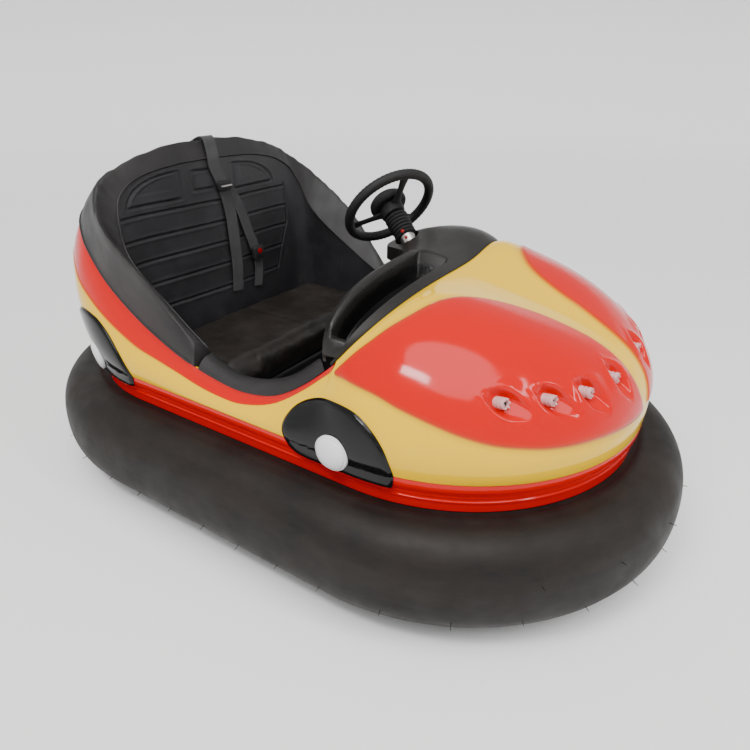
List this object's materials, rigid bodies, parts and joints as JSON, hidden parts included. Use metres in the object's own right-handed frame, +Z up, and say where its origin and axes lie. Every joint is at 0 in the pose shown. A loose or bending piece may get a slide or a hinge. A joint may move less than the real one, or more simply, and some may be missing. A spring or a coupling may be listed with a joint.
{
  "type": "bumper car",
  "caption": "Stadium-shaped fairground bumper car with an inflatable rubber ring, moulded body, padded cockpit, offset steering wheel and a steered drive wheel underneath.",
  "frame": {"origin": "on the floor under the middle of the rubber ring", "axes": "+X towards the nose, +Y to the driver's left, +Z up"},
  "size_m": [1.95, 1.232, 0.9279],
  "materials": {
    "battery_grey": "matte",
    "black_gloss": "gloss",
    "black_rubber": "matte",
    "black_vinyl": "satin",
    "bright_steel": "brushed",
    "lamp_pink": "gloss",
    "moulded_black": "matte",
    "painted_steel": "satin",
    "red_gelcoat": "gloss",
    "webbing": "matte",
    "white_cap": "gloss",
    "yellow_gelcoat": "gloss"
  },
  "bodies": {
    "chassis": {"bumper_ring": "black_rubber", "chassis_tub": "painted_steel", "lower_skirt": "red_gelcoat", "main_body": "yellow_gelcoat", "cockpit_liner": "black_vinyl", "rim_roll": "black_vinyl", "sill_trim_left": "black_vinyl", "sill_trim_right": "black_vinyl", "seat_cushion": "black_vinyl", "seat_deck": "painted_steel", "seat_riser": "painted_steel", "floor_plate": "painted_steel", "cowl": "black_vinyl", "dash_panel": "moulded_black", "column_boot": "moulded_black", "column_tube": "bright_steel", "drive_well": "painted_steel", "battery_block": "battery_grey", "accelerator_pedal": "painted_steel", "rear_bracket_left": "painted_steel", "rear_bracket_right": "painted_steel", "rear_axle_left": "bright_steel", "rear_axle_right": "bright_steel", "hub_cap_front_left": "white_cap", "hub_cap_front_right": "white_cap", "hub_cap_rear_left": "white_cap", "hub_cap_rear_right": "white_cap", "wheel_disc_front_left": "black_gloss", "wheel_disc_front_right": "black_gloss", "wheel_disc_rear_left": "black_gloss", "wheel_disc_rear_right": "black_gloss", "lamp_left_1": "lamp_pink", "lamp_left_2": "lamp_pink", "lamp_left_3": "lamp_pink", "lamp_left_4": "lamp_pink", "lamp_right_1": "lamp_pink", "lamp_right_2": "lamp_pink", "lamp_right_3": "lamp_pink", "lamp_right_4": "lamp_pink", "belt_shoulder": "webbing", "belt_lap": "webbing", "belt_adjuster": "moulded_black", "belt_buckle": "moulded_black"},
    "drive_unit": {"drive_fork": "painted_steel", "drive_motor": "painted_steel"},
    "drive_wheel": {"drive_tyre": "black_rubber", "drive_hub": "painted_steel"},
    "rear_wheel_left": {"rear_tyre_left": "black_rubber", "rear_hub_left": "painted_steel"},
    "rear_wheel_right": {"rear_tyre_right": "black_rubber", "rear_hub_right": "painted_steel"},
    "steering": {"steering_wheel": "moulded_black", "wheel_pad": "moulded_black", "steering_shaft": "bright_steel"}
  },
  "joints": [
    {"name": "drive_steer", "type": "hinge", "parent": "chassis", "child": "drive_unit", "pos_m": [0.455, 0, 0.3], "axis": [0, 0, 1], "range_deg": [-160, 160]},
    {"name": "drive_wheel_spin", "type": "hinge", "parent": "drive_unit", "child": "drive_wheel", "pos_m": [0.455, 0, 0.125], "axis": [0, 1, 0], "continuous": true},
    {"name": "rear_left_spin", "type": "hinge", "parent": "chassis", "child": "rear_wheel_left", "pos_m": [-0.46, 0.3, 0.1], "axis": [0, 1, 0], "continuous": true},
    {"name": "rear_right_spin", "type": "hinge", "parent": "chassis", "child": "rear_wheel_right", "pos_m": [-0.46, -0.3, 0.1], "axis": [0, 1, 0], "continuous": true},
    {"name": "steering_wheel_turn", "type": "hinge", "parent": "chassis", "child": "steering", "pos_m": [0.04, 0.17, 0.758], "axis": [-0.7302, 0.3301, 0.5982], "range_deg": [-160, 160]}
  ],
  "couplings": [
    {"joint": "steering_wheel_turn", "follows": "drive_steer", "ratio": 1}
  ]
}
